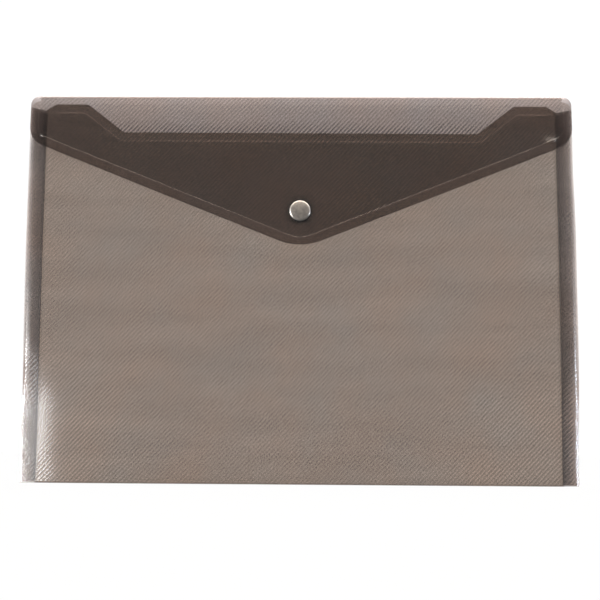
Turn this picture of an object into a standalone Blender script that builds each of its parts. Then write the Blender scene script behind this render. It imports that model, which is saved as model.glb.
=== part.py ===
"""A landscape A4 document wallet folded from one sheet of translucent polypropylene film.

The wallet stands on its bottom fold, with its width along X, its front towards -Y and its
height along +Z. The origin is at the centre of the bottom. A back panel and a lower front
panel make the pocket, folded strips close its sides, and a pointed flap comes over the top
and shuts with a round metal snap. Each panel between two creases is an object of its own.
"""

import math

import bmesh
import bpy
from mathutils import Matrix, Vector

# The sheet and its folds
WIDTH = 0.333
HEIGHT = 0.2355
FILM = 0.0003
GAP = 0.0003
POCKET_DEPTH = 0.0070
FLAP_CLEARANCE = 0.0026
CAP_HEIGHT = 0.0017
TOP_CORNER_RADIUS = 0.0055

# The front panel and its cut-out mouth
SIDE_STRIP = 0.0100
FRONT_HALF_WIDTH = WIDTH / 2 - SIDE_STRIP
TAB_TOP = HEIGHT - 0.0048
TAB_NOTCH_TOP = HEIGHT - 0.0085
TAB_OUTER_X = 0.151
TAB_INNER_X = 0.131
MOUTH_HALF_WIDTH = 0.1087
MOUTH_HEIGHT = HEIGHT - 0.0223
MOUTH_RADIUS = 0.0040

# The flap
FLAP_SIDE_DROP = 0.0279
FLAP_POINT_DROP = 0.0946
FLAP_CORNER_RADIUS = 0.0120
FLAP_POINT_RADIUS = 0.0360

# The pressed border line
BORDER_INSET = 0.0053
BORDER_WIDTH = 0.0009
BORDER_END_DROP = 0.0084

# The snap
SNAP_HEIGHT = HEIGHT - 0.0712
SNAP_STEPS = 48
FLAP_HOLE_RADIUS = 0.0018
FRONT_HOLE_RADIUS = 0.0016

ARC_STEP = math.radians(6)

# Where each layer lies along Y, from the back to the front
DEPTH = FILM + POCKET_DEPTH + FILM + FLAP_CLEARANCE + FILM + CAP_HEIGHT
BACK_OUTER = DEPTH / 2
BACK_INNER = BACK_OUTER - FILM
FRONT_INNER = BACK_INNER - POCKET_DEPTH
FRONT_OUTER = FRONT_INNER - FILM
FLAP_INNER = FRONT_OUTER - FLAP_CLEARANCE
FLAP_OUTER = FLAP_INNER - FILM

# The creases that the film bends on
BACK_CREASE = Vector((0, BACK_OUTER - FILM / 2, HEIGHT - FILM / 2))
FLAP_CREASE = Vector((0, FLAP_OUTER + FILM / 2, HEIGHT - FILM / 2))
POCKET_CREASE = Vector((0, FRONT_OUTER, 0))

UPRIGHT = Matrix.Rotation(math.pi / 2, 4, "X")


def clear_scene():
    for item in list(bpy.data.objects):
        bpy.data.objects.remove(item, do_unlink=True)


def new_collection(name):
    made = bpy.data.collections.new(name)
    bpy.context.scene.collection.children.link(made)
    return made


def new_material(name, colour, roughness, metallic):
    made = bpy.data.materials.new(name)
    made.use_nodes = True
    shader = made.node_tree.nodes["Principled BSDF"]
    shader.inputs["Base Color"].default_value = (*colour, 1)
    shader.inputs["Roughness"].default_value = roughness
    shader.inputs["Metallic"].default_value = metallic
    return made


def film_material(name):
    return new_material(name, (0.075, 0.062, 0.053), 0.28, 0)


def metal_material(name):
    return new_material(name, (0.52, 0.49, 0.46), 0.3, 1)


def rounded(corners):
    """Returns an outline with its corners, each (x, z, radius), replaced by arcs."""
    outline = []
    for index, (x, z, radius) in enumerate(corners):
        corner = Vector((x, z))
        before = Vector(corners[index - 1][:2]) - corner
        after = Vector(corners[(index + 1) % len(corners)][:2]) - corner
        if radius == 0:
            outline.append(corner)
            continue
        inside = before.angle(after)
        reach = radius / math.tan(inside / 2)
        start = corner + before.normalized() * reach
        end = corner + after.normalized() * reach
        towards = (before.normalized() + after.normalized()).normalized()
        centre = corner + towards * radius / math.sin(inside / 2)
        turn = (start - centre).angle_signed(end - centre)
        steps = max(1, math.ceil(abs(turn) / ARC_STEP))
        for step in range(steps + 1):
            spoke = start - centre
            angle = -turn * step / steps
            cosine, sine = math.cos(angle), math.sin(angle)
            outline.append(centre + Vector((spoke.x * cosine - spoke.y * sine, spoke.x * sine + spoke.y * cosine)))
    return outline


def circle(x, z, radius, steps=32):
    turns = (2 * math.pi * step / steps for step in range(steps))
    return [Vector((x + radius * math.cos(turn), z + radius * math.sin(turn))) for turn in turns]


def sheet(name, loops, collection, thickness=FILM):
    """Returns a mesh object of this thickness that lies in XY; loops after the first are holes."""
    curve = bpy.data.curves.new(name + "_outline", "CURVE")
    curve.dimensions = "2D"
    curve.fill_mode = "BOTH"
    curve.extrude = thickness / 2
    for loop in loops:
        spline = curve.splines.new("POLY")
        spline.points.add(len(loop) - 1)
        for point, place in zip(spline.points, loop):
            point.co = (place.x, place.y, 0, 1)
        spline.use_cyclic_u = True
    drawn = bpy.data.objects.new(name + "_outline", curve)
    collection.objects.link(drawn)
    bpy.context.view_layer.update()
    evaluated = drawn.evaluated_get(bpy.context.evaluated_depsgraph_get())
    mesh = bpy.data.meshes.new_from_object(evaluated)
    mesh.name = name
    bpy.data.objects.remove(drawn, do_unlink=True)
    work = bmesh.new()
    work.from_mesh(mesh)
    bmesh.ops.remove_doubles(work, verts=work.verts, dist=1e-6)
    bmesh.ops.recalc_face_normals(work, faces=work.faces)
    work.to_mesh(mesh)
    work.free()
    made = bpy.data.objects.new(name, mesh)
    collection.objects.link(made)
    return made


def place(piece, matrix, origin=None):
    """Moves a piece's mesh by matrix and puts the piece's origin at this point."""
    origin = origin or Vector()
    piece.data.transform(Matrix.Translation(-origin) @ matrix)
    piece.location = origin


def standing(y):
    """Stands a sheet up, its middle at this Y."""
    return Matrix.Translation((0, y, 0)) @ UPRIGHT


def finish(piece, material):
    piece.data.materials.clear()
    piece.data.materials.append(material)
    return piece


def join_border(piece, band, y, origin=None):
    """Joins a pressed line to a panel: a band half sunk in the face at this Y."""
    ridge = sheet(piece.name + "_border", [band], CUTTERS)
    place(ridge, standing(y), origin)
    ridge.hide_render = True
    ridge.display_type = "WIRE"
    union = piece.modifiers.new("border", "BOOLEAN")
    union.operation = "UNION"
    union.solver = "EXACT"
    union.object = ridge


def turned(name, profile, y, material, collection, closed=False, origin=None):
    """Turns a profile of (radius, height towards the front) about the snap's axis."""
    mesh = bpy.data.meshes.new(name)
    work = bmesh.new()
    verts = [work.verts.new((radius, 0, height)) for radius, height in profile]
    for first, second in zip(verts, verts[1:]):
        work.edges.new((first, second))
    if closed:
        work.edges.new((verts[-1], verts[0]))
    work.to_mesh(mesh)
    work.free()
    piece = bpy.data.objects.new(name, mesh)
    collection.objects.link(piece)
    screw = piece.modifiers.new("turn", "SCREW")
    screw.axis = "Z"
    screw.steps = SNAP_STEPS
    screw.render_steps = SNAP_STEPS
    screw.use_merge_vertices = True
    screw.merge_threshold = 1e-6
    screw.use_smooth_shade = True
    piece.rotation_euler = (math.pi / 2, 0, 0)
    piece.location = (0, y, SNAP_HEIGHT)
    piece.data.materials.append(material)
    if origin is not None:
        pivot = bpy.data.objects.new(name + "_pivot", None)
        pivot.location = origin
        collection.objects.link(pivot)
        piece.parent = pivot
        piece.location = Vector((0, y, SNAP_HEIGHT)) - origin
    return piece


def mouth_corners(inset):
    """The front panel's upper edge from left to right, moved inwards by inset."""
    slope_angle = math.atan2(TAB_TOP - MOUTH_HEIGHT, TAB_INNER_X - MOUTH_HALF_WIDTH)
    shift = inset * math.tan(slope_angle / 2)
    half = [
        (-TAB_INNER_X - shift, TAB_TOP - inset, MOUTH_RADIUS),
        (-MOUTH_HALF_WIDTH - shift, MOUTH_HEIGHT - inset, MOUTH_RADIUS),
    ]
    return half + [(-x, z, radius) for x, z, radius in reversed(half)]


def front_outline():
    left = [(-FRONT_HALF_WIDTH, 0, 0), (-FRONT_HALF_WIDTH, TAB_NOTCH_TOP, 0), (-TAB_OUTER_X, TAB_TOP, 0)]
    right = [(-x, z, radius) for x, z, radius in reversed(left)]
    return rounded(left + mouth_corners(0) + right)


def front_border():
    """A band along the upper edge, from one side of the front panel to the other."""
    outer = BORDER_INSET - BORDER_WIDTH / 2
    inner = BORDER_INSET + BORDER_WIDTH / 2
    upper = [(-TAB_OUTER_X, TAB_TOP - outer, 0)] + mouth_corners(outer) + [(TAB_OUTER_X, TAB_TOP - outer, 0)]
    lower = [(-TAB_OUTER_X, TAB_TOP - inner, 0)] + mouth_corners(inner) + [(TAB_OUTER_X, TAB_TOP - inner, 0)]
    return rounded(upper + lower[::-1])


def flap_corners(inset):
    """The flap's left corner, point and right corner, moved inwards by inset."""
    slope_angle = math.atan2(FLAP_POINT_DROP - FLAP_SIDE_DROP, WIDTH / 2)
    point_z = HEIGHT - FLAP_POINT_DROP + inset / math.cos(slope_angle)
    side_x = WIDTH / 2 - inset
    side_z = point_z + side_x * math.tan(slope_angle)
    corner_radius = FLAP_CORNER_RADIUS - inset
    return [
        (-side_x, side_z, corner_radius),
        (0, point_z, FLAP_POINT_RADIUS - inset),
        (side_x, side_z, corner_radius),
    ]


def flap_outline():
    left = [(-WIDTH / 2, HEIGHT, TOP_CORNER_RADIUS)]
    right = [(WIDTH / 2, HEIGHT, TOP_CORNER_RADIUS)]
    return rounded(left + flap_corners(0) + right)


def flap_border():
    """A band that follows the flap's free edge from side to side."""
    outer = BORDER_INSET - BORDER_WIDTH / 2
    inner = BORDER_INSET + BORDER_WIDTH / 2
    top = HEIGHT - BORDER_END_DROP
    outer_x = WIDTH / 2 - outer
    inner_x = WIDTH / 2 - inner
    lower = [(-outer_x, top, 0)] + flap_corners(outer) + [(outer_x, top, 0)]
    upper = [(-inner_x, top, 0)] + flap_corners(inner) + [(inner_x, top, 0)]
    return rounded(lower + upper[::-1])


def back_panel():
    half = WIDTH / 2
    corners = [
        (-half, 0, 0),
        (-half, HEIGHT, TOP_CORNER_RADIUS),
        (half, HEIGHT, TOP_CORNER_RADIUS),
        (half, 0, 0),
    ]
    piece = sheet("back_panel", [rounded(corners)], WALLET)
    place(piece, standing(BACK_OUTER - FILM / 2))
    return finish(piece, film_material("back_film"))


def bottom_spine():
    """The fold that joins the back panel to the narrower front panel, flat on the ground."""
    rear_y = BACK_INNER - GAP
    front_y = FRONT_INNER + GAP
    corners = [
        (-WIDTH / 2, rear_y, 0),
        (WIDTH / 2, rear_y, 0),
        (FRONT_HALF_WIDTH, front_y, 0),
        (-FRONT_HALF_WIDTH, front_y, 0),
    ]
    piece = sheet("bottom_spine", [rounded(corners)], WALLET)
    place(piece, Matrix.Translation((0, 0, FILM / 2)))
    return finish(piece, film_material("bottom_film"))


def top_spine():
    """The fold that carries the flap over the pocket's mouth."""
    half = WIDTH / 2 - TOP_CORNER_RADIUS
    rear_y = BACK_INNER - GAP
    front_y = FLAP_INNER + GAP
    corners = [(-half, front_y, 0), (half, front_y, 0), (half, rear_y, 0), (-half, rear_y, 0)]
    piece = sheet("top_spine", [rounded(corners)], WALLET)
    place(piece, Matrix.Translation((0, 0, HEIGHT - FILM / 2)), BACK_CREASE)
    return finish(piece, film_material("top_film"))


def front_panel():
    hole = circle(0, SNAP_HEIGHT, FRONT_HOLE_RADIUS)
    piece = sheet("front_panel", [front_outline(), hole], WALLET)
    place(piece, standing(FRONT_OUTER + FILM / 2), POCKET_CREASE)
    join_border(piece, front_border(), FRONT_OUTER, POCKET_CREASE)
    return finish(piece, film_material("front_film"))


def flap_panel():
    hole = circle(0, SNAP_HEIGHT, FLAP_HOLE_RADIUS)
    piece = sheet("flap_panel", [flap_outline(), hole], WALLET)
    place(piece, standing(FLAP_OUTER + FILM / 2), FLAP_CREASE)
    join_border(piece, flap_border(), FLAP_OUTER, FLAP_CREASE)
    return finish(piece, film_material("flap_film"))


def gusset_outer(side, label):
    """The sloping strip from the front panel's side crease back to the wallet's outer edge."""
    start = Vector((FRONT_HALF_WIDTH + GAP + FILM, FRONT_OUTER + FILM / 2))
    end = Vector((WIDTH / 2 - FILM / 2, BACK_INNER - 3 * GAP - FILM))
    run = end - start
    angle = math.atan2(run.y, run.x)
    foot = 2 * GAP
    corners = [
        (0, foot, 0),
        (run.length, foot, 0),
        (run.length, TAB_TOP, 0),
        (0, TAB_NOTCH_TOP, 0),
    ]
    piece = sheet("gusset_outer_" + label, [rounded(corners)], WALLET)
    turn = Matrix.Rotation(angle, 4, "Z")
    shift = Matrix.Translation((start.x, start.y, 0))
    place(piece, shift @ turn @ UPRIGHT)
    reflect(piece, side)
    place(piece, Matrix.Identity(4), POCKET_CREASE)
    return finish(piece, film_material("gusset_outer_film_" + label))


def gusset_inner(side, label):
    """The strip that is folded back inwards and welded to the back panel."""
    near_x = FRONT_HALF_WIDTH
    far_x = WIDTH / 2
    foot = 2 * GAP
    corners = [(near_x, foot, 0), (far_x, foot, 0), (far_x, TAB_TOP, 0), (near_x, TAB_NOTCH_TOP, 0)]
    piece = sheet("gusset_inner_" + label, [rounded(corners)], WALLET)
    place(piece, standing(BACK_INNER - GAP - FILM / 2))
    reflect(piece, side)
    return finish(piece, film_material("gusset_inner_film_" + label))


def reflect(piece, side):
    """Puts a piece made for +X on its own side, with its faces still pointing out."""
    if side > 0:
        return
    piece.data.transform(Matrix.Scale(-1, 4, (1, 0, 0)))
    piece.data.flip_normals()


def snap_cap():
    """The shown cap: a low dome with a rolled rim, and the post that goes through the flap."""
    top = CAP_HEIGHT
    profile = [
        (0, top),
        (0.0040, top),
        (0.0050, top - 0.00015),
        (0.0058, top - 0.0005),
        (0.0063, top - 0.0010),
        (0.0062, GAP + 0.0001),
        (0.0059, GAP),
        (0.0014, GAP),
        (0.0014, -0.0009),
        (0.0012, -0.0010),
        (0, -0.0010),
    ]
    return turned("snap_cap", profile, FLAP_OUTER, metal_material("cap_metal"), WALLET, origin=FLAP_CREASE)


def snap_socket():
    """The ring behind the flap that grips the stud."""
    thickness = FLAP_CLEARANCE - 4 * GAP
    top = -GAP
    bottom = top - thickness
    profile = [
        (0.0046, top),
        (0.0052, top - 0.0003),
        (0.0052, bottom + 0.0003),
        (0.0048, bottom),
        (0.0026, bottom),
        (0.0024, bottom + 0.0002),
        (0.0024, top),
    ]
    metal = metal_material("socket_metal")
    return turned("snap_socket", profile, FLAP_INNER, metal, WALLET, closed=True, origin=FLAP_CREASE)


def snap_stud():
    """The knob on the front panel that the socket presses over."""
    flange_top = GAP + 0.0003
    knob_top = FLAP_CLEARANCE - 0.0010
    profile = [
        (0, knob_top),
        (0.0015, knob_top),
        (0.0020, knob_top - 0.0003),
        (0.0019, flange_top + 0.0002),
        (0.0021, flange_top),
        (0.0045, flange_top),
        (0.0048, flange_top - 0.0001),
        (0.0048, GAP),
        (0.0016, GAP),
        (0.0016, knob_top - 0.00035),
        (0, knob_top - 0.00035),
    ]
    return turned("snap_stud", profile, FRONT_OUTER, metal_material("stud_metal"), WALLET, origin=POCKET_CREASE)


def snap_post():
    """The eyelet inside the pocket whose post holds the stud on the front panel."""
    disc_top = -GAP
    disc_bottom = disc_top - 0.0005
    post_top = FILM + 0.0012
    profile = [
        (0, post_top),
        (0.0010, post_top),
        (0.0012, post_top - 0.0002),
        (0.0012, disc_top),
        (0.0044, disc_top),
        (0.0046, disc_top - 0.0001),
        (0.0046, disc_bottom + 0.0002),
        (0.0042, disc_bottom),
        (0, disc_bottom),
    ]
    return turned("snap_post", profile, FRONT_INNER, metal_material("post_metal"), WALLET, origin=POCKET_CREASE)


clear_scene()
WALLET = new_collection("document_wallet")
CUTTERS = new_collection("cutters")
back_panel()
bottom_spine()
top_spine()
front_panel()
flap_panel()
for side, label in ((-1, "left"), (1, "right")):
    gusset_outer(side, label)
    gusset_inner(side, label)
snap_cap()
snap_socket()
snap_stud()
snap_post()
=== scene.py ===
"""The looks of a translucent document wallet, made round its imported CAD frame.

The wallet is one thin plastic sheet. Each film piece is cut flat here, with its pressed
border lines, and then folded over the creases, so that the sheet stays whole at every pose.
"""

import math

import bmesh
import bpy
import numpy as np
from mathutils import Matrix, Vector
from mathutils.geometry import delaunay_2d_cdt

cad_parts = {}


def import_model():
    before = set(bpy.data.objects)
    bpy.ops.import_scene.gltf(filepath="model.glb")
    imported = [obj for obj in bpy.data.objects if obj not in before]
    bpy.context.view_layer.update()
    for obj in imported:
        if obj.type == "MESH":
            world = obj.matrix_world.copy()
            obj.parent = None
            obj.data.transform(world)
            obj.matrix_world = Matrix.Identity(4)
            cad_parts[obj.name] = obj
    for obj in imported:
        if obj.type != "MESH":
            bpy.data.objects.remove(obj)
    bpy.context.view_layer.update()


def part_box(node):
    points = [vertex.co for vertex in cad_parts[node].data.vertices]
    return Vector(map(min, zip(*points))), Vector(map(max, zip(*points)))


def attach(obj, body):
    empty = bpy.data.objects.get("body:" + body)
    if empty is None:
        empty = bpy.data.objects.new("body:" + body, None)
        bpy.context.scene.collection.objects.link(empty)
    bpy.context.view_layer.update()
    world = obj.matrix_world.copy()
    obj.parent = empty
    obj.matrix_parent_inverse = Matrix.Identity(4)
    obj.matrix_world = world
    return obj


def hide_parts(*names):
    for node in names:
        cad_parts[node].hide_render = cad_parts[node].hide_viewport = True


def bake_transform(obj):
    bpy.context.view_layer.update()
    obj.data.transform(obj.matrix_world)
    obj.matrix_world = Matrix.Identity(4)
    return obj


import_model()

# Levels and sizes of the CAD frame
BACK_LOW, BACK_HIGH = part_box("back_panel")
FRONT_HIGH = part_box("front_panel")[1]
FLAP_LOW, FLAP_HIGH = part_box("flap_panel")
CAP_LOW, CAP_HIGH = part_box("snap_cap")
HALF_WIDTH = BACK_HIGH[0]
HEIGHT = BACK_HIGH[2]
FILM = BACK_HIGH[1] - BACK_LOW[1]
BACK_Y = BACK_HIGH[1] - FILM / 2
FRONT_Y = FRONT_HIGH[1] - FILM / 2
FLAP_Y = FLAP_HIGH[1] - FILM / 2
FRONT_HALF = FRONT_HIGH[0]
TAB_TOP = FRONT_HIGH[2]
SNAP_Z = (CAP_LOW[2] + CAP_HIGH[2]) / 2

# The front panel's cut-out mouth
TAB_NOTCH = HEIGHT - 0.0085
TAB_OUTER_X = 0.151
TAB_INNER_X = 0.131
MOUTH_HALF = 0.1087
MOUTH_Z = HEIGHT - 0.0223
MOUTH_RADIUS = 0.0040

# The flap's outline, and the radius of the pressed ridge's point
TOP_CORNER = 0.0055
FLAP_SIDE_Z = HEIGHT - 0.0279
FLAP_POINT_Z = HEIGHT - 0.0946
FLAP_CORNER = 0.0120
FLAP_POINT = 0.0360
RIDGE_POINT = 0.0240

# The holes for the snap
FLAP_HOLE = 0.0018
FRONT_HOLE = 0.0016
HOLE_STEPS = 24

# A painted shadow ring round the snap's cap on the flap: how far outside the cap, how wide, how
# dark as a crease value, and the rings of points that carry it
CAP_SHADOW_GAP = 0.0004
CAP_SHADOW_WIDTH = 0.0009
CAP_SHADOW_DARK = 4.0
CAP_SHADOW_RINGS = (-0.0004, 0.0001, 0.0004, 0.0007, 0.0012)

# A small dent in the flap, just above its right corner, and the rings of points that shape it
DENT = (0.1525, 0.2065)
DENT_RISE = 0.0015
DENT_REACH = (0.0055, 0.0034)
DENT_RINGS = (0.0009, 0.0018, 0.0027, 0.0036, 0.0046)

# The border line that is pressed into the film, and its lines of points in half widths
BORDER_INSET = 0.0053
BORDER_HALF = 0.00050
BORDER_RISE = 0.00019
BORDER_TOP_Z = HEIGHT - 0.0084
BORDER_LINES = (0, -1.8, -1, -0.5, 0.5, 1, 1.8)

# The folded strip at each side, measured across it from the front crease
STRIP_BEND = 0.0070
STRIP_BEND_WIDTH = 0.0056
STRIP_FOLD = 0.0132
STRIP_FOLD_WIDTH = 0.0020
STRIP_FOLD_REACH = 0.0014
STRIP_STEP = 0.0007
STRIP_WIDTH = 0.0220
STRIP_FOOT = 0.0005

# How the sheet is cut up: its grid, the steps at a crease, the gap from a border line to the
# grid, and how near two points of an outline may be
GRID = 0.0040
FINE = 0.0003
CLEAR = 0.0011
MERGE = 0.00004
ARC_STEP = math.radians(5)
MESH_SCALE = 1000.0

# The pressed line texture: how far apart the lines are, how steep and how deep
LINE_PITCH = 0.00194
LINE_ANGLE = math.radians(46)
LINE_DEPTH = 0.00003

# The film's gloss. Only outer faces mirror, so their share stands for both faces of the film.
FILM_IOR = 1.49
BOTH_FACES = 1.25
PLAIN_ROUGHNESS = 0.15
LINED_ROUGHNESS = 0.10

# How much darker a crease value of 1 makes the film; positive crease values are painted shade
CREASE_SHADE = 0.16

# How wide a crease's painted shade line is: at a fold, at the front's sides and on the strips
CREASE_MARK = 0.0008
SIDE_MARK = 0.0012
STRIP_MARK = 0.0009

# The values for pale and dark film below are crease values. Pale ones are taken off.
# How much paler the pressed borders are: in part thinner pressed film, in part a painted highlight
FLAP_BORDER_PALE = 1.5
FRONT_BORDER_PALE = 3.0

# How much paler the side strips are along their outer fold: a painted sheen
RIM_SHEEN = {"left": 2.8, "right": 3.0}

# How much paler the flap is just below its crease, and how far down, in two bands: a painted sheen
TOP_SHEEN = ((3.2, 0.0015), (2.2, 0.0120))

# How much darker the front panel is above its mouth, as painted shade under the flap, and paler
# at its lower corners, as painted sheen
TAB_SHADE = 0.7
CORNER_SHEEN = 0.7

# How strong the lines are on the front, how much stronger they are at its lower corners and low
# on the strips' outer halves, and how strong they are on the strips' inner halves. The lines are
# the film's own; their extra strength at the corners and low on the strips is painted glint.
FRONT_LINED = 0.78
CORNER_LINED = 0.75
STRIP_LOW_LINED = 1.4
STRIP_INNER_LINED = 0.3

# How much weaker the lines are on the flap above the mouth
FLAP_LINED_LOSS = 0.62

# How far the pocket's lower corners are pressed in, and the height where that ends
CORNER_PULL = 0.0035
LOW_END = 0.085
LOW_FADE = 0.045


def smooth(x):
    """0 below 0, 1 above 1, and a smooth step between them."""
    x = np.clip(x, 0, 1)
    return x * x * (3 - 2 * x)


def mark(away, width):
    """1 on a line, fading out at both sides of it."""
    return np.exp(-((away / width) ** 2))


def low_down(z):
    """1 near the pocket's bottom and 0 higher up."""
    return smooth((LOW_END - z) / LOW_FADE)


def bump_at(x, z, centre_x, centre_z, reach_x, reach_z):
    """1 at a centre, fading out over a reach across and a reach upwards."""
    return np.exp(-(((x - centre_x) / reach_x) ** 2) - ((z - centre_z) / reach_z) ** 2)


# --- flat outlines ---------------------------------------------------------------------


def rounded(corners, closed=True):
    """Corners, each (x, v, radius), as a list of points with arcs for the round ones."""
    points = []
    last = len(corners) - 1
    for index, (x, v, radius) in enumerate(corners):
        corner = Vector((x, v))
        if radius == 0 or (not closed and index in (0, last)):
            points.append(corner)
            continue
        before = (Vector(corners[index - 1][:2]) - corner).normalized()
        after = (Vector(corners[(index + 1) % len(corners)][:2]) - corner).normalized()
        opening = before.angle(after)
        reach = radius / math.tan(opening / 2)
        centre = corner + (before + after).normalized() * radius / math.sin(opening / 2)
        spoke = corner + before * reach - centre
        turn = spoke.angle_signed(corner + after * reach - centre)
        steps = max(1, math.ceil(abs(turn) / ARC_STEP))
        for step in range(steps + 1):
            angle = -turn * step / steps
            cosine = math.cos(angle)
            sine = math.sin(angle)
            turned_x = spoke.x * cosine - spoke.y * sine
            turned_v = spoke.x * sine + spoke.y * cosine
            points.append(centre + Vector((turned_x, turned_v)))
    return points


def spread(points, step, closed):
    """The same line with points no further apart than step."""
    ends = points[1:] + points[:1] if closed else points[1:]
    result = []
    for first, second in zip(points, ends):
        count = max(1, math.ceil((second - first).length / step))
        result += [first.lerp(second, part / count) for part in range(count)]
    return result if closed else result + [points[-1]]


def crossed(points, rows, columns):
    """A closed line with a point added wherever it crosses a row or a column."""
    result = []
    for first, second in zip(points, points[1:] + points[:1]):
        run = second - first
        parts = [0.0]
        for axis, levels in ((0, columns), (1, rows)):
            if abs(run[axis]) > 1e-9:
                shares = [(level - first[axis]) / run[axis] for level in levels]
                parts += [part for part in shares if 0 < part < 1]
        parts.sort()
        kept = [parts[0]]
        for part in parts[1:]:
            if (part - kept[-1]) * run.length > MERGE and (1 - part) * run.length > MERGE:
                kept.append(part)
        result += [first.lerp(second, part) for part in kept]
    return result


def distance(points, line, closed=False):
    """How far each of these points is from a line, as an array."""
    line = np.array([tuple(place) for place in line])
    starts = line if closed else line[:-1]
    ends = np.roll(line, -1, axis=0) if closed else line[1:]
    nearest = np.full(len(points), 1e9)
    for start, end in zip(starts, ends):
        run = end - start
        part = np.clip(((points - start) @ run) / max(run @ run, 1e-18), 0, 1)
        nearest = np.minimum(nearest, np.linalg.norm(points - start - part[:, None] * run, axis=1))
    return nearest


def inside(points, outline):
    """True for each point that lies in a closed outline."""
    result = np.zeros(len(points), bool)
    for first, second in zip(outline, outline[1:] + outline[:1]):
        spans = (first.y > points[:, 1]) != (second.y > points[:, 1])
        rise = second.y - first.y
        divisor = rise if abs(rise) > 1e-12 else 1
        at = first.x + (points[:, 1] - first.y) / divisor * (second.x - first.x)
        result ^= spans & (points[:, 0] < at)
    return result


def steps_between(low, high, step):
    """Even levels from low to high, about a step apart."""
    count = max(1, round((high - low) / step))
    return [low + (high - low) * part / count for part in range(count + 1)]


def cut_flat(outline, rows, columns, borders=(), hole=None):
    """Triangulates a flat outline over rows and columns. Returns its points and triangles.

    borders are lines that the triangles follow, and hole is a (centre, radius) that is cut out.
    """
    loop = crossed(spread(outline, GRID, True), rows, columns)
    places = [tuple(place) for place in loop]
    edges = [(index, (index + 1) % len(loop)) for index in range(len(loop))]
    for line in borders:
        first = len(places)
        places += [tuple(place) for place in line]
        edges += [(index, index + 1) for index in range(first, len(places) - 1)]
    if hole:
        centre, radius = hole
        first = len(places)
        for step in range(HOLE_STEPS):
            turn = 2 * math.pi * step / HOLE_STEPS
            places.append((centre[0] + radius * math.cos(turn), centre[1] + radius * math.sin(turn)))
            edges.append((first + step, first + (step + 1) % HOLE_STEPS))
    grid = np.array([(x, v) for v in rows for x in columns])
    keep = inside(grid, loop) & (distance(grid, loop, True) > FINE)
    for line in borders:
        keep &= distance(grid, line) > CLEAR
    if hole:
        keep &= np.hypot(grid[:, 0] - centre[0], grid[:, 1] - centre[1]) > radius * 1.3
    places += [tuple(place) for place in grid[keep]]
    scaled = [Vector((x * MESH_SCALE, v * MESH_SCALE)) for x, v in places]
    found = delaunay_2d_cdt(scaled, edges, [], 1, 1e-5)
    points = np.array([tuple(place) for place in found[0]]) / MESH_SCALE
    triangles = [tuple(face) for face in found[2]]
    if hole:
        middle = points[np.array(triangles)].mean(axis=1)
        out = np.hypot(middle[:, 0] - centre[0], middle[:, 1] - centre[1]) > radius * 0.98
        triangles = [face for face, kept in zip(triangles, out) if kept]
    return points, triangles


# --- folding ---------------------------------------------------------------------------


class Course:
    """A path of the folded sheet, seen from its side: a start, a heading and smooth turns.

    Headings and turns are in degrees, and each turn is (its middle, its width, its angle).
    """

    STEP = 0.00005

    def __init__(self, start, heading, turns, length):
        self.s = np.arange(0, length + self.STEP, self.STEP)
        self.heading = np.full(len(self.s), float(heading))
        for middle, width, angle in turns:
            self.heading += angle * smooth((self.s - middle) / width + 0.5)
        radians = np.radians(self.heading)
        self.a = start[0] + np.concatenate([[0], np.cumsum(np.cos(radians[:-1])) * self.STEP])
        self.b = start[1] + np.concatenate([[0], np.cumsum(np.sin(radians[:-1])) * self.STEP])

    def at(self, s):
        """Place and heading, in radians, at a length s along the path."""
        heading = np.radians(np.interp(s, self.s, self.heading))
        return np.interp(s, self.s, self.a), np.interp(s, self.s, self.b), heading


def pressed(flat, lines):
    """The height of the pressed border line at each flat point."""
    rise = np.zeros(len(flat))
    for line in lines:
        near = np.clip(distance(flat, line) / BORDER_HALF, 0, 1)
        rise = np.maximum(rise, BORDER_RISE * (0.5 + 0.5 * np.cos(math.pi * near)))
    return rise


def lined_inside(flat, outline):
    """1 for points in an outline, where the film has its lines, and 0 past its edge."""
    depth = distance(flat, outline, True) * np.where(inside(flat, outline), 1, -1)
    return smooth(depth / 0.0008 + 0.5)


def build_film(name, flat, triangles, places, pattern, shade_and_sheen, lined, material):
    """Makes a film piece of the sheet's thickness from a folded middle surface.

    pattern gives each point its place on the whole flat sheet. The crease values darken the film where
    they are positive, as painted shade, and make it paler where they are negative, as painted sheen and
    highlight, and in part as thinner pressed film. lined is 0 on plain film, 1 where the film has its
    pressed lines, and more where they are stronger.
    """
    mesh = bpy.data.meshes.new(name)
    mesh.from_pydata(places.tolist(), [], triangles)
    layer = mesh.uv_layers.new(name="sheet")
    corners = np.zeros(len(mesh.loops), np.int32)
    mesh.loops.foreach_get("vertex_index", corners)
    layer.data.foreach_set("uv", pattern[corners].astype(np.float32).ravel())
    for key, values in (("crease", shade_and_sheen), ("lined", lined)):
        attribute = mesh.attributes.new(key, "FLOAT", "POINT")
        attribute.data.foreach_set("value", values.astype(np.float32))
    piece = bpy.data.objects.new(name, mesh)
    bpy.context.scene.collection.objects.link(piece)
    thick = piece.modifiers.new("thickness", "SOLIDIFY")
    thick.thickness = FILM
    thick.offset = 0
    bpy.context.view_layer.update()
    depsgraph = bpy.context.evaluated_depsgraph_get()
    solid = bpy.data.meshes.new_from_object(piece.evaluated_get(depsgraph))
    piece.modifiers.clear()
    piece.data = solid
    bpy.data.meshes.remove(mesh)
    solid.name = name
    solid.materials.clear()
    solid.materials.append(material)
    solid.shade_smooth()
    solid.set_sharp_from_angle(angle=math.radians(50))
    return piece


def flare(x, z):
    """How far the pocket's sides belly out, the right one more than the left one."""
    starts_x = 0.153
    left = 0.0002 + 0.0013 * smooth((z - 0.030) / 0.120)
    right = 0.0009 + 0.0015 * smooth(z / 0.080) - 0.0010 * smooth((z - 0.150) / 0.050)
    outwards = np.where(x < 0, -left, right)
    return outwards * np.clip((np.abs(x) - starts_x) / (HALF_WIDTH - starts_x), 0, 1.2)


def lift(x, z):
    """The top edge sits a little higher, most so at the right."""
    highest = 0.0005 + 0.0005 * x / HALF_WIDTH
    return highest * smooth((z - 0.190) / 0.040)


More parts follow.
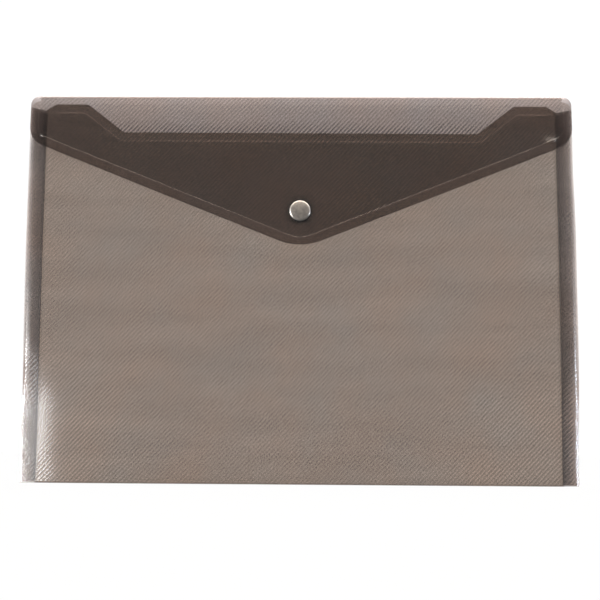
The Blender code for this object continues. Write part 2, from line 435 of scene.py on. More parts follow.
def flap_lean(x):
    """The flap's sides lie a little further in than the pocket's."""
    most = 0.0007
    starts_x = 0.150
    return -np.sign(x) * most * np.clip((np.abs(x) - starts_x) / (HALF_WIDTH - starts_x), 0, 1)


def front_swell(x, z):
    """How far the front panel stands off its flat place, towards -Y.

    It swells as a whole, with small ripples all over and larger ones low in the middle, and
    its lower corners are pressed in, the left one more than the right one.
    """
    swell_most = 0.0009
    ripple = 0.00007
    low_ripple = 0.00022
    across = 1 - np.clip(np.abs(x) / FRONT_HALF, 0, 1) ** 2
    swell = swell_most * across * np.sin(math.pi * np.clip(z / 0.225, 0, 1))
    swell += ripple * across * np.sin(z / 0.0052 + 0.9 * np.sin(x / 0.055))
    swell += low_ripple * across * np.sin(x / 0.024 + z / 0.060) * bump_at(x, z, 0.0, 0.0, 0.09, 0.05)
    from_left = np.clip(FRONT_HALF + x, 0, None)
    swell -= CORNER_PULL * np.exp(-from_left / 0.012) * low_down(z)
    from_right = np.clip(FRONT_HALF - x, 0, None)
    swell -= CORNER_PULL * 0.3 * np.exp(-from_right / 0.007) * smooth((0.070 - z) / 0.030)
    return swell


def bend_depth(places):
    """Moves the pocket's front and sides by the front panel's swell, none of it at the back."""
    clear = 0.0006
    share = np.clip((BACK_Y - clear - places[:, 1]) / (BACK_Y - clear - FRONT_Y), 0, 1)
    places[:, 1] -= share * front_swell(places[:, 0], places[:, 2])
    return places


# --- materials -------------------------------------------------------------------------


def node(tree, kind, **values):
    """A new node. A value named in_ and a number is an input's, any other is a setting's."""
    made = tree.nodes.new(kind)
    for key, value in values.items():
        if key.startswith("in_"):
            made.inputs[int(key[3:])].default_value = value
        else:
            setattr(made, key, value)
    return made


def maths(tree, operation, first, second=None, third=None):
    """The output of a new maths node, its inputs numbers or other nodes' outputs."""
    made = node(tree, "ShaderNodeMath", operation=operation)
    for index, value in enumerate((first, second, third)):
        if value is None:
            continue
        if isinstance(value, (int, float)):
            made.inputs[index].default_value = value
        else:
            tree.links.new(value, made.inputs[index])
    return made.outputs[0]


def noise(tree, place, scale, detail):
    """The output of a new noise texture that is looked up at a place."""
    made = node(tree, "ShaderNodeTexNoise", in_2=scale, in_3=detail)
    tree.links.new(place, made.inputs[0])
    return made.outputs[0]


def ramp_between(tree, value, low, high, start, end):
    """Goes smoothly from start to end while the value goes from low to high."""
    ramp = node(tree, "ShaderNodeMapRange", interpolation_type="SMOOTHSTEP")
    for key, level in (("From Min", low), ("From Max", high), ("To Min", start), ("To Max", end)):
        ramp.inputs[key].default_value = level
    tree.links.new(value, ramp.inputs[0])
    return ramp.outputs[0]


def film_material(name, passed, plain_gain=0.06, haze=0.02, contrast=0.095):
    """Smoke-tinted film with fine slanting lines, which the plain borders don't have.

    passed is the tinted light that comes through one face of the film, where it has lines.
    plain_gain is how much more comes through plain film, haze is the share of light that the
    film scatters, and contrast is how much darker a line is than the film between two lines.
    """
    material = bpy.data.materials.new(name)
    material.use_nodes = True
    tree = material.node_tree
    tree.nodes.clear()
    link = tree.links.new
    uv = node(tree, "ShaderNodeUVMap", uv_map="sheet")
    split = node(tree, "ShaderNodeSeparateXYZ")
    link(uv.outputs[0], split.inputs[0])
    across = maths(tree, "MULTIPLY", split.outputs[0], math.sin(LINE_ANGLE) / LINE_PITCH * 2 * math.pi)
    along = maths(tree, "MULTIPLY", split.outputs[1], math.cos(LINE_ANGLE) / LINE_PITCH * 2 * math.pi)
    wander = noise(tree, uv.outputs[0], 14.0, 1.0)
    phase = maths(tree, "SUBTRACT", across, along)
    phase = maths(tree, "ADD", phase, maths(tree, "MULTIPLY", wander, 1.6))
    wave = maths(tree, "MULTIPLY_ADD", maths(tree, "SINE", phase), 0.5, 0.5)
    lined = node(tree, "ShaderNodeAttribute", attribute_name="lined")
    line = maths(tree, "MULTIPLY", wave, lined.outputs["Fac"])

    cloud = noise(tree, uv.outputs[0], 22.0, 3.0)
    stretch = node(tree, "ShaderNodeMapping")
    stretch.inputs["Scale"].default_value = (9.0, 62.0, 1.0)
    link(uv.outputs[0], stretch.inputs[0])
    streak = noise(tree, stretch.outputs[0], 1.0, 2.0)
    grain = noise(tree, uv.outputs[0], 800.0, 2.0)
    # The crease attribute: painted shade where positive, painted sheen and paler pressed film where
    # negative
    crease = node(tree, "ShaderNodeAttribute", attribute_name="crease")

    shade = maths(tree, "MULTIPLY_ADD", line, -contrast, 1.0 + contrast / 2)
    factors = (
        (lined.outputs["Fac"], -plain_gain, 1.0 + plain_gain),
        (streak, 0.10, 0.95),
        (grain, 0.05, 0.975),
        (crease.outputs["Fac"], -CREASE_SHADE, 1.0),
    )
    for value, gain, start in factors:
        shade = maths(tree, "MULTIPLY", shade, maths(tree, "MULTIPLY_ADD", value, gain, start))
    hue = node(tree, "ShaderNodeMix", data_type="RGBA")
    link(cloud, hue.inputs["Factor"])
    red, green, blue = passed
    hue.inputs["A"].default_value = (red * 0.97, green * 1.005, blue * 1.03, 1)
    hue.inputs["B"].default_value = (red * 1.03, green * 0.995, blue * 0.97, 1)
    tint = node(tree, "ShaderNodeMix", data_type="RGBA", blend_type="MULTIPLY")
    tint.inputs["Factor"].default_value = 1.0
    link(hue.outputs["Result"], tint.inputs["A"])
    grey = node(tree, "ShaderNodeCombineColor")
    for socket in grey.inputs:
        link(shade, socket)
    link(grey.outputs[0], tint.inputs["B"])
    through = node(tree, "ShaderNodeBsdfTransparent")
    link(tint.outputs["Result"], through.inputs[0])

    bump = node(tree, "ShaderNodeBump")
    bump.inputs["Strength"].default_value = 1.0
    bump.inputs["Distance"].default_value = LINE_DEPTH
    link(maths(tree, "MULTIPLY_ADD", grain, 0.02, line), bump.inputs["Height"])

    body = node(tree, "ShaderNodeBsdfDiffuse")
    body.inputs["Color"].default_value = (0.26, 0.24, 0.23, 1)
    link(bump.outputs[0], body.inputs["Normal"])
    hazy = node(tree, "ShaderNodeMixShader")
    hazy.inputs[0].default_value = haze
    link(through.outputs[0], hazy.inputs[1])
    link(body.outputs[0], hazy.inputs[2])

    gloss = node(tree, "ShaderNodeBsdfGlossy")
    textured = maths(tree, "MINIMUM", lined.outputs["Fac"], 1.0)
    rough = maths(tree, "MULTIPLY_ADD", textured, LINED_ROUGHNESS, PLAIN_ROUGHNESS)
    rough = maths(tree, "MULTIPLY_ADD", cloud, 0.06, rough)
    link(maths(tree, "MULTIPLY_ADD", crease.outputs["Fac"], 0.06, rough), gloss.inputs["Roughness"])
    link(bump.outputs[0], gloss.inputs["Normal"])
    fresnel = node(tree, "ShaderNodeFresnel", in_0=FILM_IOR)
    face = node(tree, "ShaderNodeNewGeometry")
    outer = maths(tree, "SUBTRACT", 1.0, face.outputs["Backfacing"])
    mirror = maths(tree, "MULTIPLY", maths(tree, "MULTIPLY", fresnel.outputs[0], outer), BOTH_FACES)
    mirror = maths(tree, "MINIMUM", mirror, 1.0)
    mixed = node(tree, "ShaderNodeMixShader")
    link(mirror, mixed.inputs[0])
    link(hazy.outputs[0], mixed.inputs[1])
    link(gloss.outputs[0], mixed.inputs[2])
    output = node(tree, "ShaderNodeOutputMaterial")
    link(mixed.outputs[0], output.inputs[0])
    return material


def metal_material(name, colour, roughness):
    """Satin nickel plate with faint turning marks and small scuffs."""
    material = bpy.data.materials.new(name)
    material.use_nodes = True
    tree = material.node_tree
    link = tree.links.new
    shader = tree.nodes["Principled BSDF"]
    place = node(tree, "ShaderNodeTexCoord")
    split = node(tree, "ShaderNodeSeparateXYZ")
    link(place.outputs["Object"], split.inputs[0])
    rise = maths(tree, "SUBTRACT", split.outputs[2], SNAP_Z)
    rise_squared = maths(tree, "MULTIPLY", rise, rise)
    across_squared = maths(tree, "MULTIPLY", split.outputs[0], split.outputs[0])
    radius = maths(tree, "SQRT", maths(tree, "ADD", rise_squared, across_squared))
    wave = maths(tree, "SINE", maths(tree, "MULTIPLY", radius, 26000.0))
    rings = maths(tree, "MULTIPLY_ADD", wave, 0.5, 0.5)
    scuff = noise(tree, place.outputs["Object"], 700.0, 4.0)
    ramp = node(tree, "ShaderNodeValToRGB")
    scuffed, clean = ramp.color_ramp.elements
    scuffed.position = 0.35
    scuffed.color = (*(channel * 0.82 for channel in colour), 1)
    clean.position = 0.62
    clean.color = (*colour, 1)
    link(scuff, ramp.inputs[0])
    link(ramp.outputs[0], shader.inputs["Base Color"])
    shader.inputs["Metallic"].default_value = 1
    wear = maths(tree, "MULTIPLY_ADD", scuff, 0.16, roughness - 0.08)
    link(maths(tree, "MULTIPLY_ADD", rings, 0.04, wear), shader.inputs["Roughness"])
    bump = node(tree, "ShaderNodeBump")
    bump.inputs["Strength"].default_value = 0.25
    bump.inputs["Distance"].default_value = 0.00002
    link(maths(tree, "ADD", rings, scuff), bump.inputs["Height"])
    link(bump.outputs[0], shader.inputs["Normal"])
    return material


# --- the folded sheet ------------------------------------------------------------------

# Half the length of the top spine, and half its width along the sheet
SPINE_HALF_X = HALF_WIDTH - TOP_CORNER
SPINE_HALF = 0.0046

# Each top crease turns most of a right angle, and the arched spine between them does the rest
CREASE_WIDTH = 0.0026
CREASE_TURN = 82.0
ARCH_TURN = 90.0 - CREASE_TURN
BOTTOM_CREASE_WIDTH = 0.0016

# How far the sheet at the middle of the spine is raised over its place in the CAD
TOP_RISE = 0.0005

# The last part of the front crease's turn, in degrees, is spread over a longer piece of flap
SOFT_TURN = 6.0
SOFT_LENGTH = 0.010


def back_course():
    """Up the back and over the rear crease to the middle of the top spine."""
    def path(crease):
        turns = [
            (crease, CREASE_WIDTH, CREASE_TURN),
            (crease + SPINE_HALF / 2, SPINE_HALF, ARCH_TURN),
        ]
        return Course((BACK_Y, FILM / 2), 90, turns, crease + SPINE_HALF)

    crease = HEIGHT - 0.0015
    crease += HEIGHT - FILM / 2 + TOP_RISE - path(crease).b[-1]
    return path(crease), crease


def flap_course(seam):
    """From the middle of the top spine over the front crease and down the flap."""
    length = HEIGHT - FLAP_LOW[2] + SPINE_HALF * 3

    def path(crease):
        turns = [
            (crease / 2, crease, ARCH_TURN),
            (crease, CREASE_WIDTH, CREASE_TURN - SOFT_TURN),
            (crease + SOFT_LENGTH / 2, SOFT_LENGTH, SOFT_TURN),
        ]
        return Course(seam, 180, turns, length)

    crease = SPINE_HALF
    for _ in range(3):
        crease += path(crease).a[-1] - FLAP_Y
    return path(crease), crease


def front_course():
    """Forwards along the bottom and up the front."""
    start = (BACK_Y - FILM, FILM / 2)

    def path(crease):
        return Course(start, 180, [(crease, BOTTOM_CREASE_WIDTH, -90.0)], crease + TAB_TOP)

    crease = start[0] - FRONT_Y
    crease += path(crease).a[-1] - FRONT_Y
    return path(crease), crease


def fold(course, s, x, away, side):
    """Places of flat points on a folded path, moved off it by away towards the outside."""
    a, b, heading = course.at(s)
    y = a + side * np.sin(heading) * away
    z = b - side * np.cos(heading) * away
    return np.stack([x, y, z], axis=1)


def fold_rows(centre, width, low, high):
    """Rows of points, close together round a crease and a grid step apart elsewhere."""
    first = centre - width / 2 - FINE
    last = centre + width / 2 + FINE
    rows = steps_between(first, last, FINE)
    if first - low > FINE:
        rows = steps_between(low, first, GRID)[:-1] + rows
    if high - last > FINE:
        rows += steps_between(last, high, GRID)[1:]
    return rows


def back_film():
    """The back panel and the rear half of the top spine. Returns their course."""
    course, crease = back_course()
    top = course.s[-1]
    corners = [
        (-HALF_WIDTH, 0, 0),
        (HALF_WIDTH, 0, 0),
        (HALF_WIDTH, crease, TOP_CORNER),
        (SPINE_HALF_X, crease, 0),
        (SPINE_HALF_X, top, 0),
        (-SPINE_HALF_X, top, 0),
        (-SPINE_HALF_X, crease, 0),
        (-HALF_WIDTH, crease, TOP_CORNER),
    ]
    rows = fold_rows(crease, CREASE_WIDTH, 0, top)
    columns = steps_between(-HALF_WIDTH, HALF_WIDTH, GRID)
    flat, triangles = cut_flat(rounded(corners), rows, columns)
    x, s = flat[:, 0], flat[:, 1]
    away = 0.0004 * np.sin(x / 0.052 + 0.4) * np.sin(s / 0.047) * smooth((crease - 0.004 - s) / 0.02)
    places = fold(course, s, x, away * smooth(s / 0.02), 1)
    places[:, 0] += flare(places[:, 0], places[:, 2])
    places[:, 2] += lift(x, places[:, 2])
    pattern = np.stack([-x, s], axis=1)
    # Painted shade along the rear top crease
    shade_and_sheen = 0.3 * mark(s - crease, CREASE_MARK)
    lined = np.ones(len(s))
    piece = build_film("back_film", flat, triangles, places, pattern, shade_and_sheen, lined, BACK_MATERIAL)
    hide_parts("back_panel", "top_spine")
    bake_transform(piece)
    return course


def flap_path(inset):
    """The flap's left corner, point and right corner, moved inwards by inset."""
    slope = math.atan2(FLAP_SIDE_Z - FLAP_POINT_Z, HALF_WIDTH)
    point_z = FLAP_POINT_Z + inset / math.cos(slope)
    side_x = HALF_WIDTH - inset
    side_z = point_z + side_x * math.tan(slope)
    radius = FLAP_CORNER - inset
    point_radius = RIDGE_POINT - inset if inset else FLAP_POINT
    return [(-side_x, side_z, radius), (0, point_z, point_radius), (side_x, side_z, radius)]


def border_lines(path_at, ends_at):
    """The pressed border's middle line, and the close lines that give its round ridge a shape.

    All the lines have their points side by side, so that the triangles between them are even.
    """
    paths = []
    for part in BORDER_LINES:
        inset = BORDER_INSET + part * BORDER_HALF
        start, end = ends_at(inset)
        paths.append(rounded([start] + path_at(inset) + [end], closed=False))
    middle = paths[0]
    lengths = [(second - first).length for first, second in zip(middle, middle[1:])]
    counts = [max(1, math.ceil(length * 2 / GRID)) for length in lengths]
    lines = []
    for path in paths:
        line = []
        for first, second, count in zip(path, path[1:], counts):
            line += [first.lerp(second, step / count) for step in range(count)]
        lines.append(line + [path[-1]])
    return lines[0], lines


def circle(x, v, radius):
    """A ring of points, the first one repeated at its end."""
    steps = 48
    turns = [2 * math.pi * step / steps for step in range(steps + 1)]
    return [Vector((x + radius * math.cos(turn), v + radius * math.sin(turn))) for turn in turns]


def cap_shadow(x, v):
    """1 on the painted shadow ring round the snap's cap on the flap, just outside its rim."""
    ring = CAP_HIGH[2] - SNAP_Z + CAP_SHADOW_GAP
    return mark(np.hypot(x, v - SNAP_Z) - ring, CAP_SHADOW_WIDTH)


def flap_waves(x, v, fold_v, ridge):
    """How far the flap stands off its course: soft waves, the dents at its corners, the ridge."""
    from_snap = np.hypot(x, v - SNAP_Z)
    loose = smooth((fold_v - 0.004 - v) / 0.015) * smooth((from_snap - 0.008) / 0.03)
    away = 0.00030 * np.sin(x / 0.031 + 1.1) * np.cos(v / 0.026 + x / 0.090) * loose
    away += 0.0008 * bump_at(x, v, 0.158, 0.216, 0.016, 0.010) * loose
    away += DENT_RISE * bump_at(x, v, *DENT, *DENT_REACH) * loose
    away += 0.0006 * bump_at(x, v, -0.150, 0.216, 0.020, 0.012) * loose
    return away + ridge


def flap_film(seam):
    """The front half of the top spine and the flap. seam is the middle of the spine."""
    course, crease = flap_course(seam)
    top_v = np.interp(-FLAP_LOW[2], -course.b, course.s) + FLAP_LOW[2]
    fold_v = top_v - crease
    corners = [
        (-SPINE_HALF_X, top_v, 0),
        (-SPINE_HALF_X, fold_v, 0),
        (-HALF_WIDTH, fold_v, TOP_CORNER),
    ]
    corners += flap_path(0)
    corners += [(-x, v, radius) for x, v, radius in reversed(corners[:3])]

    def ends_at(inset):
        return (-HALF_WIDTH + inset, BORDER_TOP_Z, 0), (HALF_WIDTH - inset, BORDER_TOP_Z, 0)

    ridge, lines = border_lines(flap_path, ends_at)
    cap_radius = CAP_HIGH[2] - SNAP_Z
    lines += [circle(0, SNAP_Z, cap_radius + step) for step in CAP_SHADOW_RINGS]
    lines += [circle(*DENT, radius) for radius in DENT_RINGS]
    rows = fold_rows(fold_v, CREASE_WIDTH, FLAP_LOW[2], top_v)
    columns = steps_between(-HALF_WIDTH, HALF_WIDTH, GRID)
    hole = ((0, SNAP_Z), FLAP_HOLE)
    flat, triangles = cut_flat(rounded(corners), rows, columns, lines, hole)
    x, v = flat[:, 0], flat[:, 1]
    rise = pressed(flat, [ridge])
    places = fold(course, top_v - v, x, flap_waves(x, v, fold_v, rise), 1)
    places[:, 0] += flap_lean(places[:, 0])
    places[:, 2] += lift(x, places[:, 2])
    pattern = np.stack([-x, 2 * fold_v - v], axis=1)
    # A painted shadow ring round the snap's cap, and painted shade along the front crease
    shade_and_sheen = 0.2 * mark(v - fold_v, CREASE_MARK) + CAP_SHADOW_DARK * cap_shadow(x, v)
    # Painted sheen fading down from the flap's top crease
    for share, reach in TOP_SHEEN:
        shade_and_sheen -= share * np.exp(-np.clip(fold_v - v, 0, None) / reach)
    # Paler pressed border: in part thinner pressed film, in part a painted highlight
    shade_and_sheen -= FLAP_BORDER_PALE * rise / BORDER_RISE
    side_x = HALF_WIDTH - BORDER_INSET
    bounded = ridge + [Vector((side_x, top_v)), Vector((-side_x, top_v))]
    lined = lined_inside(flat, bounded) * (1.0 - FLAP_LINED_LOSS * smooth((v - MOUTH_Z) / 0.008))
    piece = build_film("flap_film", flat, triangles, places, pattern, shade_and_sheen, lined, FLAP_MATERIAL)
    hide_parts("flap_panel", "top_spine")
    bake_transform(piece)


def mouth_path(inset):
    """The front panel's cut-out from left to right, moved inwards by inset."""
    slope = math.atan2(TAB_TOP - MOUTH_Z, TAB_INNER_X - MOUTH_HALF)
    shift = inset * math.tan(slope / 2)
    half = [
        (-TAB_INNER_X - shift, TAB_TOP - inset, MOUTH_RADIUS),
        (-MOUTH_HALF - shift, MOUTH_Z - inset, MOUTH_RADIUS),
    ]
    return half + [(-x, v, radius) for x, v, radius in reversed(half)]


def front_film():
    """The bottom spine and the front panel, its mouth cut out between two tabs."""
    course, crease = front_course()
    corners = [
        (HALF_WIDTH, -crease, 0),
        (FRONT_HALF, 0, 0),
        (FRONT_HALF, TAB_NOTCH, 0),
        (TAB_OUTER_X, TAB_TOP, 0),
    ]
    corners += [(-x, v, radius) for x, v, radius in mouth_path(0)]
    corners += [(-x, v, radius) for x, v, radius in reversed(corners[:4])]

    def ends_at(inset):
        return (-TAB_OUTER_X, TAB_TOP - inset, 0), (TAB_OUTER_X, TAB_TOP - inset, 0)

    ridge, lines = border_lines(mouth_path, ends_at)
    rows = fold_rows(0, BOTTOM_CREASE_WIDTH, -crease, TAB_TOP)
    columns = steps_between(-HALF_WIDTH, HALF_WIDTH, GRID)
    hole = ((0, SNAP_Z), FRONT_HOLE)
    flat, triangles = cut_flat(rounded(corners), rows, columns, lines, hole)
    x, v = flat[:, 0], flat[:, 1]
    rise = pressed(flat, [ridge])
    places = fold(course, v + crease, x, rise, -1)
    places = bend_depth(places)
    places[:, 0] += flare(places[:, 0], places[:, 2])
    pattern = np.stack([-x, -v - crease], axis=1)
    # Painted shade along the bottom crease and the front's side creases
    shade_and_sheen = mark(v, CREASE_MARK) + 0.6 * mark(np.abs(x) - FRONT_HALF, SIDE_MARK)
    # Paler pressed border: in part thinner pressed film, in part a painted highlight
    shade_and_sheen -= FRONT_BORDER_PALE * rise / BORDER_RISE
    # Painted shade on the front above its mouth, under the flap
    shade_and_sheen += TAB_SHADE * smooth((v - MOUTH_Z) / 0.006)
    # Painted sheen at the front's lower corners
    corner = smooth((0.110 - v) / 0.100) * smooth((np.abs(x) - 0.060) / 0.080)
    shade_and_sheen -= CORNER_SHEEN * corner
    shoulder = TAB_TOP - BORDER_INSET
    past_side = HALF_WIDTH * 1.1
    past_bottom = -0.05
    bounded = ridge + [Vector((past_side, shoulder)), Vector((past_side, past_bottom))]
    bounded += [Vector((-past_side, past_bottom)), Vector((-past_side, shoulder))]
    # The film's own lines, made stronger at the lower corners as painted glints
    lined = lined_inside(flat, bounded) * (FRONT_LINED + CORNER_LINED * corner)
    piece = build_film("front_film", flat, triangles, places, pattern, shade_and_sheen, lined, FRONT_MATERIAL)
    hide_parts("front_panel", "bottom_spine")
    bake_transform(piece)


def gusset_course():
    """Seen from above: from the front crease round the outer fold and back to the weld."""
    turns = [(STRIP_BEND, STRIP_BEND_WIDTH, 60.0), (STRIP_FOLD, STRIP_FOLD_WIDTH, 108.0)]
    return Course((FRONT_HALF, FRONT_Y), 6, turns, STRIP_WIDTH)


def strip_columns(end):
    """Levels across a side strip, close together at its outer fold."""
    before = STRIP_FOLD - STRIP_FOLD_REACH
    after = STRIP_FOLD + STRIP_FOLD_REACH
    columns = steps_between(0, before, STRIP_STEP)[:-1]
    columns += steps_between(before, after, FINE)
    return columns + steps_between(after, end, 2 * STRIP_STEP)[1:]


def gusset_film(side, label):
    """The folded strip at one side: its outer half shows, its inner half lies on the back.

    c is the way across the strip from the front crease. Low down, where the pocket's corner is
    pressed in, the outer half is drawn out flat.
    """
    course = gusset_course()
    end = course.s[-1]
    weld_y = BACK_Y - 2 * FILM
    scale = (HALF_WIDTH - FILM / 2 - FRONT_HALF) / (course.a.max() - FRONT_HALF)
    depth = (weld_y - FRONT_Y) / (course.b[-1] - FRONT_Y)
    outline = [
        Vector((0, STRIP_FOOT)),
        Vector((end, STRIP_FOOT)),
        Vector((end, TAB_NOTCH)),
        Vector((STRIP_FOLD, TAB_TOP)),
        Vector((0, TAB_NOTCH)),
    ]
    rows = steps_between(STRIP_FOOT, TAB_TOP, GRID)
    flat, triangles = cut_flat(outline, rows, strip_columns(end))
    c, z = flat[:, 0], flat[:, 1]
    a, b, _ = course.at(c)
    x = FRONT_HALF + (a - FRONT_HALF) * scale
    y = FRONT_Y + (b - FRONT_Y) * depth
    fold_b = np.interp(STRIP_FOLD, course.s, course.b)
    drawn_out = FRONT_Y + (fold_b - FRONT_Y) * depth * np.clip(c / STRIP_FOLD, 0, 1)
    y = y + (drawn_out - y) * (low_down(z) * (c < STRIP_FOLD))
    places = np.stack([side * x, y, z], axis=1)
    places = bend_depth(places)
    places[:, 0] += flare(places[:, 0], places[:, 2])
    pattern = np.stack([-side * (FRONT_HALF + c), -z - 0.0075], axis=1)
    # The painted sheen along the strip's outer fold reaches further low down
    reach = 0.0075 + 0.0060 * low_down(z)
    rim = smooth(1 - np.abs(c - STRIP_FOLD) / reach)
    # Painted shade along the strip's front crease, less the painted sheen along its outer fold
    shade_and_sheen = 0.8 * mark(c, STRIP_MARK) - RIM_SHEEN[label] * rim
    # The film's own lines, made stronger low on the outer half as painted glints
    outer_lined = 1.0 + STRIP_LOW_LINED * smooth((0.100 - z) / 0.070)
    lined = np.where(c > STRIP_FOLD, STRIP_INNER_LINED, outer_lined)
    name = "gusset_film_" + label
    piece = build_film(name, flat, triangles, places, pattern, shade_and_sheen, lined, GUSSET_MATERIAL)
    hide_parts("gusset_outer_" + label, "gusset_inner_" + label)
    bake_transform(piece)


# --- the snap --------------------------------------------------------------------------


def turned(name, profile, y, body, node_name, material, closed=False):
    """Turns a profile of (radius, height towards the front) about the snap's axis."""
    steps = 96
    mesh = bpy.data.meshes.new(name)
    work = bmesh.new()
    rings = []
    turns = [2 * math.pi * step / steps for step in range(steps)]
    for radius, height in profile:
        if radius == 0:
            rings.append([work.verts.new((0, y - height, SNAP_Z))])
            continue
        ring = []
        for turn in turns:
            place = (radius * math.cos(turn), y - height, SNAP_Z + radius * math.sin(turn))
            ring.append(work.verts.new(place))
        rings.append(ring)
    pairs = list(zip(rings, rings[1:]))
    if closed:
        pairs.append((rings[-1], rings[0]))
    for first, second in pairs:
        for step in range(steps):
            after = (step + 1) % steps
            if len(first) == 1:
                work.faces.new((first[0], second[step], second[after]))
            elif len(second) == 1:
                work.faces.new((first[step], second[0], first[after]))
            else:
                work.faces.new((first[step], second[step], second[after], first[after]))
    bmesh.ops.recalc_face_normals(work, faces=work.faces)
    work.to_mesh(mesh)
    work.free()
    mesh.shade_smooth()
    mesh.set_sharp_from_angle(angle=math.radians(40))
    mesh.materials.append(material)
    piece = bpy.data.objects.new(name, mesh)
    bpy.context.scene.collection.objects.link(piece)
    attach(piece, body)
    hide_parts(node_name)
    return piece


def bead(centre_r, centre_h, radius, first, last, count=7):
    """Points of a profile along an arc, its angles in degrees from +radius towards the front."""
    angles = [math.radians(first + (last - first) * step / (count - 1)) for step in range(count)]
    return [(centre_r + radius * math.cos(angle), centre_h + radius * math.sin(angle)) for angle in angles]


def snap_cap():
    """The domed cap outside the flap, its edge rolled in and its shank through the film."""
    cap_radius = CAP_HIGH[2] - SNAP_Z
    edge = 0.00070
    top = -CAP_LOW[1] + FLAP_Y - FILM / 2
    cap = [(0, top), (0.0015, top - 0.00002), (0.0030, top - 0.00007), (0.0042, top - 0.00014)]
    cap += [(0.0050, top - 0.00022)]
    cap += bead(cap_radius - edge, top - 0.00095, edge, 74, -80, 15)
    cap += [(0.0054, 0.0003), (0.0014, 0.0003), (0.0014, -0.0009), (0.0012, -0.0010), (0, -0.0010)]
    turned("snap_cap_shell", cap, FLAP_Y - FILM / 2, "flap", "snap_cap", CAP_METAL)


def snap_socket():
    """The ring behind the flap, with rounded edges outside and at its hole."""
    low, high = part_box("snap_socket")
    depth = high[1] - low[1]
    outer = (high[0] - low[0]) / 2
    inner = 0.0024
    outer_edge = 0.0004
    inner_edge = 0.0003
    ring = bead(outer - outer_edge, depth - outer_edge, outer_edge, 90, 0)
    ring += bead(outer - outer_edge, outer_edge, outer_edge, 0, -90)
    ring += bead(inner + inner_edge, inner_edge, inner_edge, 270, 180)
    ring += bead(inner + inner_edge, depth - inner_edge, inner_edge, 180, 90)
    turned("snap_socket_ring", ring, high[1], "flap", "snap_socket", INNER_METAL, closed=True)


def snap_stud():
    """The knob outside the front panel, hollow from behind, on its flat flange."""
    low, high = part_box("snap_stud")
    tall = high[1] - low[1]
    edge = 0.0005
    wall = 0.00035
    knob = [(0, tall), (0.0012, tall)]
    knob += bead(0.0015, tall - edge, edge, 90, -10, 9)
    knob += [(0.0018, 0.0006), (0.0021, 0.0003), (0.0044, 0.0003), (0.0048, 0.0002)]
    knob += [(0.0048, 0), (0.0016, 0), (0.0016, tall - wall), (0, tall - wall)]
    turned("snap_stud_knob", knob, high[1], "front", "snap_stud", INNER_METAL)


def snap_post():
    """The eyelet inside the pocket, its shank through the front panel."""
    low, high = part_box("snap_post")
    tall = high[1] - low[1]
    wide = (high[0] - low[0]) / 2
    edge = 0.00025
    eyelet = [(0, tall), (0.0010, tall), (0.0012, tall - 0.0002), (0.0012, 0.0005), (0.0040, 0.0005)]
    eyelet += bead(wide - edge, edge, edge, 80, -80)
    eyelet += [(0.0030, 0.00006), (0.0016, 0.00018), (0, 0.00018)]
    turned("snap_post_eyelet", eyelet, high[1], "front", "snap_post", INNER_METAL)


# --- floor, light and camera -----------------------------------------------------------

# How bright the studio is: past the wallet, in front, behind and beside it, and overhead
PAPER_WHITE = 1.02
STUDIO_DIM = 0.04
STUDIO_SIDES = 1.5
STUDIO_TOP = 3.6

# How brightly the floor glows, for all other rays and for the camera
FLOOR_DIM = 0.08
FLOOR_GLOW = 0.97

# Which way a ray goes where the studio's walls and its ceiling begin, and where they are full
WALLS_FROM = -0.80
WALLS_FULL = -0.10
CEILING_FROM = 0.42
CEILING_FULL = 0.85

# Where the side lights point, at the wallet's lower corners, and the tints of the right ones
LEFT_CORNER = (-0.16, 0, 0.02)
RIGHT_CORNER = (0.16, 0, 0.02)
COOL_LIGHT = (0.80, 0.88, 1.0)
PALE_LIGHT = (0.92, 0.95, 1.0)

# The photo's camera, its lens in millimetres and its turns in degrees
CAMERA_PLACE = (0.0058, -0.700, 0.020)
CAMERA_TURNS = (97.357, -0.416, 0.393)
CAMERA_LENS = 70.05


def floor():
    """A large floor that looks white to the camera and throws little light on the wallet."""
    mesh = bpy.data.meshes.new("floor")
    size = 6.0
    level = -0.0004
    corners = [(-size, -size, level), (size, -size, level), (size, size, level), (-size, size, level)]
    mesh.from_pydata(corners, [], [(0, 1, 2, 3)])
    plane = bpy.data.objects.new("floor", mesh)
    bpy.context.scene.collection.objects.link(plane)
    material = bpy.data.materials.new("pale_floor")
    material.use_nodes = True
    tree = material.node_tree
    shader = tree.nodes["Principled BSDF"]
    shader.inputs["Base Color"].default_value = (0.01, 0.01, 0.01, 1)
    shader.inputs["Roughness"].default_value = 0.9
    shader.inputs["Specular IOR Level"].default_value = 0.0
    shader.inputs["Emission Color"].default_value = (1, 1, 1, 1)
    rays = node(tree, "ShaderNodeLightPath")
    glow = ramp_between(tree, rays.outputs["Is Camera Ray"], 0, 1, FLOOR_DIM, FLOOR_GLOW)
    tree.links.new(glow, shader.inputs["Emission Strength"])
    mesh.materials.append(material)


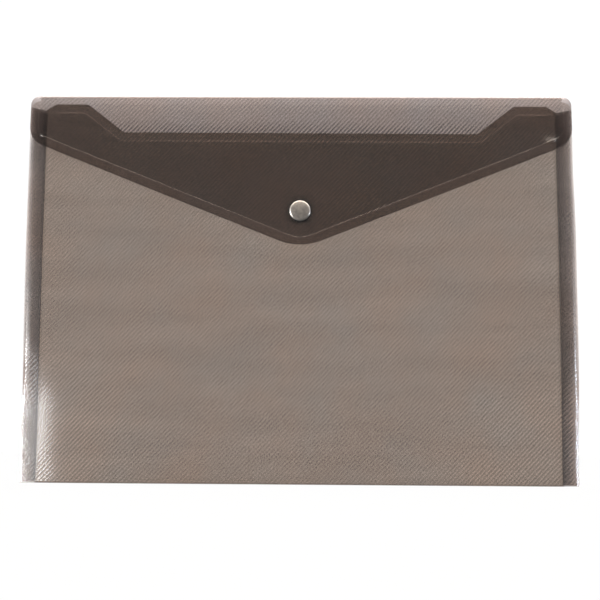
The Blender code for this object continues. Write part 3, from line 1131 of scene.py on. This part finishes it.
def world():
    """White where the camera looks past the wallet, and a studio for everything else.

    The studio is white behind and beside the wallet and dim in front, under a bright warm
    ceiling.
    """
    made = bpy.data.worlds.new("studio")
    bpy.context.scene.world = made
    made.use_nodes = True
    tree = made.node_tree
    tree.nodes.clear()
    link = tree.links.new
    place = node(tree, "ShaderNodeTexCoord")
    split = node(tree, "ShaderNodeSeparateXYZ")
    link(place.outputs["Generated"], split.inputs[0])
    behind = split.outputs[1]
    above = split.outputs[2]
    aside = ramp_between(tree, behind, WALLS_FROM, WALLS_FULL, STUDIO_DIM, STUDIO_SIDES)
    overhead = ramp_between(tree, above, CEILING_FROM, CEILING_FULL, 0.0, STUDIO_TOP)
    walls = node(tree, "ShaderNodeBackground")
    walls.inputs[0].default_value = (1.0, 0.99, 0.98, 1)
    link(aside, walls.inputs[1])
    ceiling = node(tree, "ShaderNodeBackground")
    ceiling.inputs[0].default_value = (1.0, 0.89, 0.77, 1)
    link(overhead, ceiling.inputs[1])
    studio = node(tree, "ShaderNodeAddShader")
    link(walls.outputs[0], studio.inputs[0])
    link(ceiling.outputs[0], studio.inputs[1])
    white = node(tree, "ShaderNodeBackground")
    white.inputs[0].default_value = (1, 1, 1, 1)
    white.inputs[1].default_value = PAPER_WHITE
    rays = node(tree, "ShaderNodeLightPath")
    mixed = node(tree, "ShaderNodeMixShader")
    link(rays.outputs["Is Camera Ray"], mixed.inputs[0])
    link(studio.outputs[0], mixed.inputs[1])
    link(white.outputs[0], mixed.inputs[2])
    output = node(tree, "ShaderNodeOutputWorld")
    link(mixed.outputs[0], output.inputs[0])


def area_light(name, place, target, size, power, colour=(1, 1, 1)):
    """A rectangular light of a (width, height), turned towards its target and not seen itself."""
    lamp = bpy.data.lights.new(name, "AREA")
    lamp.shape = "RECTANGLE"
    lamp.size = size[0]
    lamp.size_y = size[1]
    lamp.energy = power
    lamp.color = colour
    made = bpy.data.objects.new(name, lamp)
    made.location = place
    made.rotation_euler = (Vector(target) - Vector(place)).to_track_quat("-Z", "Y").to_euler()
    made.visible_camera = False
    bpy.context.scene.collection.objects.link(made)


def lights():
    """Low lights at both sides, and a small one on the flap's right corner."""
    area_light("low_left", (-0.80, -0.66, 0.045), LEFT_CORNER, (0.40, 0.10), 4.8)
    area_light("side_left", (-1.15, -0.26, 0.045), LEFT_CORNER, (0.40, 0.14), 12.0)
    area_light("side_right", (1.15, -0.26, 0.060), RIGHT_CORNER, (0.40, 0.14), 5.0, COOL_LIGHT)
    area_light("upper_right", (0.74, -0.67, 0.85), (0.15, 0, 0.21), (0.25, 0.25), 2.2, PALE_LIGHT)


def camera():
    """The photo's camera, close to the wallet and low."""
    lens = bpy.data.cameras.new("camera")
    lens.lens = CAMERA_LENS
    lens.sensor_width = 36
    made = bpy.data.objects.new("camera", lens)
    made.location = CAMERA_PLACE
    made.rotation_euler = [math.radians(turn) for turn in CAMERA_TURNS]
    lens.clip_start = 0.01
    lens.clip_end = 50
    bpy.context.scene.collection.objects.link(made)
    bpy.context.scene.camera = made


BACK_MATERIAL = film_material("back_smoke_film", (0.914, 0.889, 0.869), contrast=0.03)
FRONT_MATERIAL = film_material("front_smoke_film", (0.568, 0.524, 0.492))
FLAP_MATERIAL = film_material("flap_smoke_film", (0.468, 0.438, 0.430), plain_gain=-0.01, contrast=0.34)
GUSSET_MATERIAL = film_material("gusset_smoke_film", (0.590, 0.566, 0.556), contrast=0.11)
CAP_METAL = metal_material("satin_nickel", (0.74, 0.69, 0.64), 0.33)
INNER_METAL = metal_material("plain_nickel", (0.50, 0.48, 0.45), 0.28)

BACK_COURSE = back_film()
flap_film((BACK_COURSE.a[-1], BACK_COURSE.b[-1]))
front_film()
gusset_film(-1, "left")
gusset_film(1, "right")
snap_cap()
snap_socket()
snap_stud()
snap_post()
floor()
world()
lights()
camera()
bpy.context.scene.view_settings.view_transform = "Standard"
bpy.context.scene.cycles.transparent_max_bounces = 32
